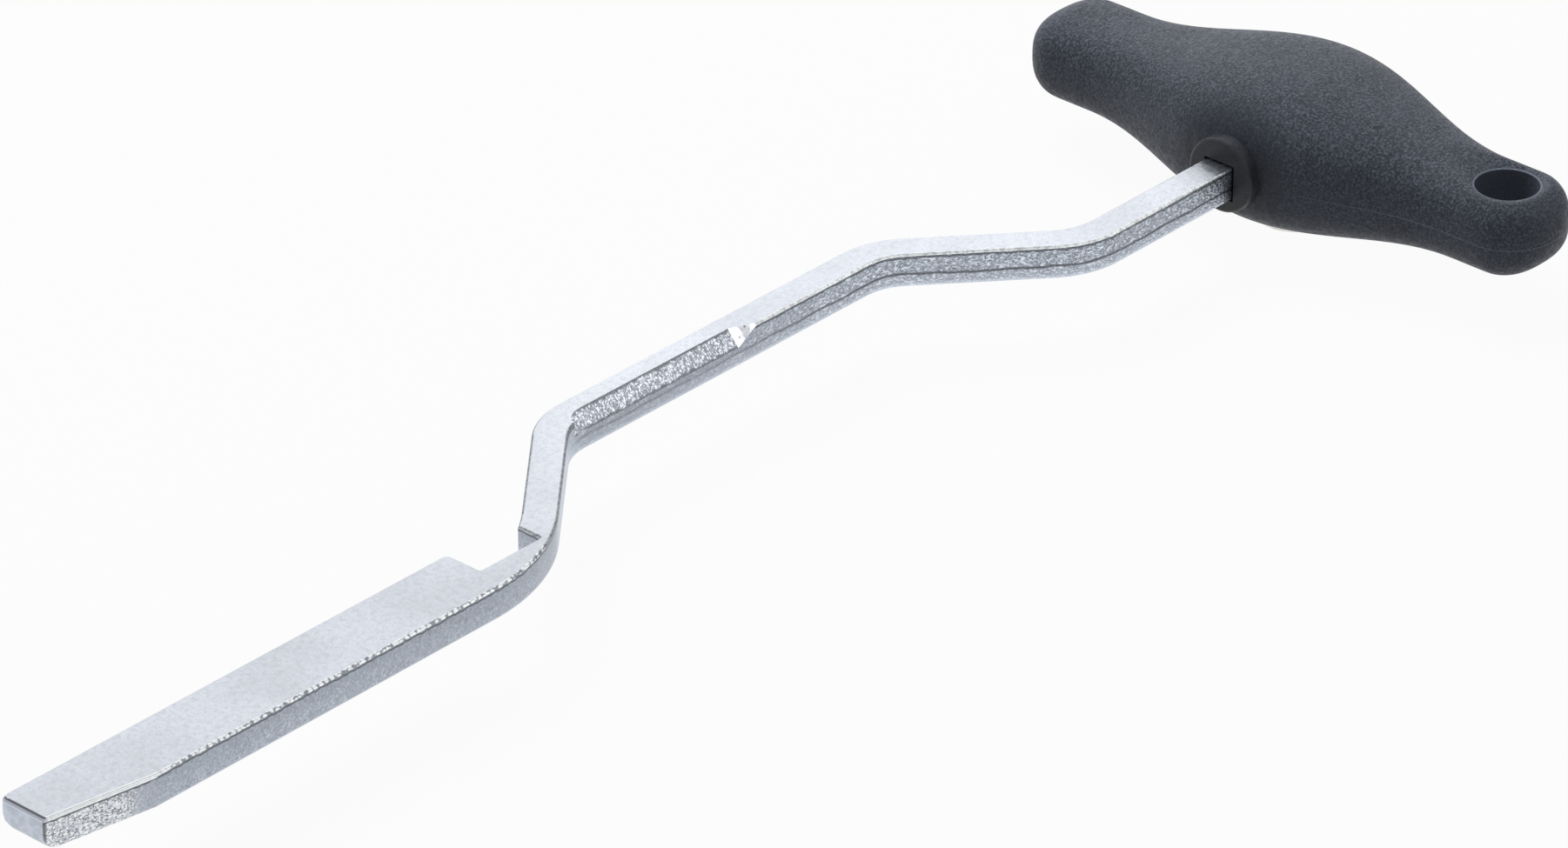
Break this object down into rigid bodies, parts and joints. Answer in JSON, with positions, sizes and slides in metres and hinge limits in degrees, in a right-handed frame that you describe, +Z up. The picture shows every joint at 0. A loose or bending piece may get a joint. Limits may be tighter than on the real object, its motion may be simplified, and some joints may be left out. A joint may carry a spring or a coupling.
{
  "type": "gearbox assembly lever",
  "caption": "Cranked flat steel pry lever with a slotted blade and a moulded T-handle, for pushing gearbox engagement levers aside.",
  "frame": {"origin": "middle of the tool's length and of the handle, at its lowest point", "axes": "+X from the blade tip to the handle, +Y along the handle towards the end without a hole, +Z up, square to the plate"},
  "size_m": [0.3086, 0.109, 0.0294],
  "materials": {
    "plated_steel": "satin zinc plating over a cut and blasted surface",
    "core_plastic": "smooth moulded plastic",
    "grip_plastic": "spark-eroded grain",
    "screw_steel": "zinc plated"
  },
  "bodies": {
    "root": {"lever_bar": "plated_steel", "handle_core": "core_plastic", "handle_grip": "grip_plastic", "lock_screw": "screw_steel"}
  },
  "joints": []
}
